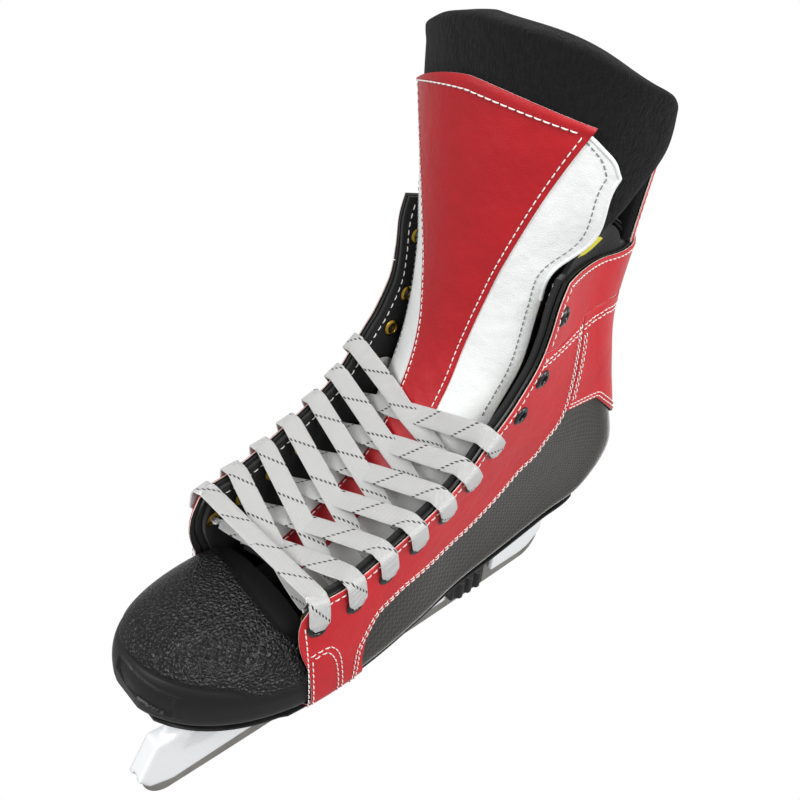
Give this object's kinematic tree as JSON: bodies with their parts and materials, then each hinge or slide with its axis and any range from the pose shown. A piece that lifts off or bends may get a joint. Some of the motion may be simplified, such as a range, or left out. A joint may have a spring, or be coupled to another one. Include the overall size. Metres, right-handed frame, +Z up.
{
  "type": "ice hockey skate",
  "caption": "Left ice hockey skate: layered boot with laced tongue, hinged tendon guard and tongue top, and a steel runner in a moulded blade holder.",
  "frame": {"origin": "on top of the footbed, in the middle plane, under the middle of the foot", "axes": "+X towards the toe, +Y towards the wearer's left (the outer side of this left skate), +Z up the leg"},
  "size_m": [0.2976, 0.1278, 0.345],
  "materials": {
    "carbon": "glossy dark woven composite",
    "lining": "black brushed lining",
    "red_leather": "satin red synthetic leather with white stitching",
    "toe_shell": "pebbled black shell",
    "felt": "fuzzy black felt",
    "lace_cotton": "flat woven white with dark tracers",
    "lace_plastic": "clear tip",
    "eyelet_black": "black enamel outside, brass inside",
    "holder_white": "glossy white moulding",
    "steel": "ground steel",
    "trigger_black": "black moulding with finger ridges",
    "spring_steel": "spring wire",
    "rivet_copper": "coppered rivet",
    "sole_black": "black outsole",
    "board_tan": "fibre board",
    "footbed_foam": "foam footbed with knitted cover"
  },
  "bodies": {
    "boot": {"ankle_panel_lateral": "red_leather", "ankle_panel_medial": "red_leather", "blade_holder": "holder_white", "cuff_band_lateral": "red_leather", "cuff_band_medial": "red_leather", "eyelet_10_lateral": "eyelet_black", "eyelet_10_medial": "eyelet_black", "eyelet_1_lateral": "eyelet_black", "eyelet_1_medial": "eyelet_black", "eyelet_2_lateral": "eyelet_black", "eyelet_2_medial": "eyelet_black", "eyelet_3_lateral": "eyelet_black", "eyelet_3_medial": "eyelet_black", "eyelet_4_lateral": "eyelet_black", "eyelet_4_medial": "eyelet_black", "eyelet_5_lateral": "eyelet_black", "eyelet_5_medial": "eyelet_black", "eyelet_6_lateral": "eyelet_black", "eyelet_6_medial": "eyelet_black", "eyelet_7_lateral": "eyelet_black", "eyelet_7_medial": "eyelet_black", "eyelet_8_lateral": "eyelet_black", "eyelet_8_medial": "eyelet_black", "eyelet_9_lateral": "eyelet_black", "eyelet_9_medial": "eyelet_black", "facing_lateral": "red_leather", "facing_medial": "red_leather", "footbed": "footbed_foam", "lace": "lace_cotton", "lace_tail_lateral": "lace_cotton", "lace_tail_medial": "lace_cotton", "lace_tip_lateral": "lace_plastic", "lace_tip_medial": "lace_plastic", "lasting_board": "board_tan", "liner_lateral": "lining", "liner_medial": "lining", "outsole": "sole_black", "quarter_lateral": "carbon", "quarter_medial": "carbon", "rivet_1": "rivet_copper", "rivet_10": "rivet_copper", "rivet_2": "rivet_copper", "rivet_3": "rivet_copper", "rivet_4": "rivet_copper", "rivet_5": "rivet_copper", "rivet_6": "rivet_copper", "rivet_7": "rivet_copper", "rivet_8": "rivet_copper", "rivet_9": "rivet_copper", "toe_cap": "toe_shell", "tongue_face_lower": "red_leather", "tongue_felt_lower": "felt", "trigger_pin": "spring_steel", "trigger_spring": "spring_steel"},
    "tongue_top": {"tongue_felt_upper": "felt", "tongue_face_upper": "red_leather"},
    "guard": {"tendon_guard": "red_leather", "tendon_guard_lining": "lining"},
    "trigger": {"release_trigger": "trigger_black"},
    "blade": {"runner": "steel"}
  },
  "joints": [
    {"name": "tongue_bend", "type": "hinge", "parent": "boot", "child": "tongue_top", "pos_m": [-0.0014, 0, 0.1255], "axis": [0, 1, 0], "range_deg": [0, 50]},
    {"name": "guard_flex", "type": "hinge", "parent": "boot", "child": "guard", "pos_m": [-0.1155, 0, 0.1608], "axis": [0, -1, 0], "range_deg": [0, 25], "stiffness_Nm_per_rad": 4},
    {"name": "trigger_pull", "type": "slide", "parent": "boot", "child": "trigger", "axis": [-1, 0, 0], "range_m": [0, 0.005], "stiffness_N_per_m": 600, "springref_m": -0.004, "deforming": ["trigger_spring"]},
    {"name": "runner_release", "type": "slide", "parent": "boot", "child": "blade", "axis": [0, 0, -1], "range_m": [0, 0.026]}
  ]
}
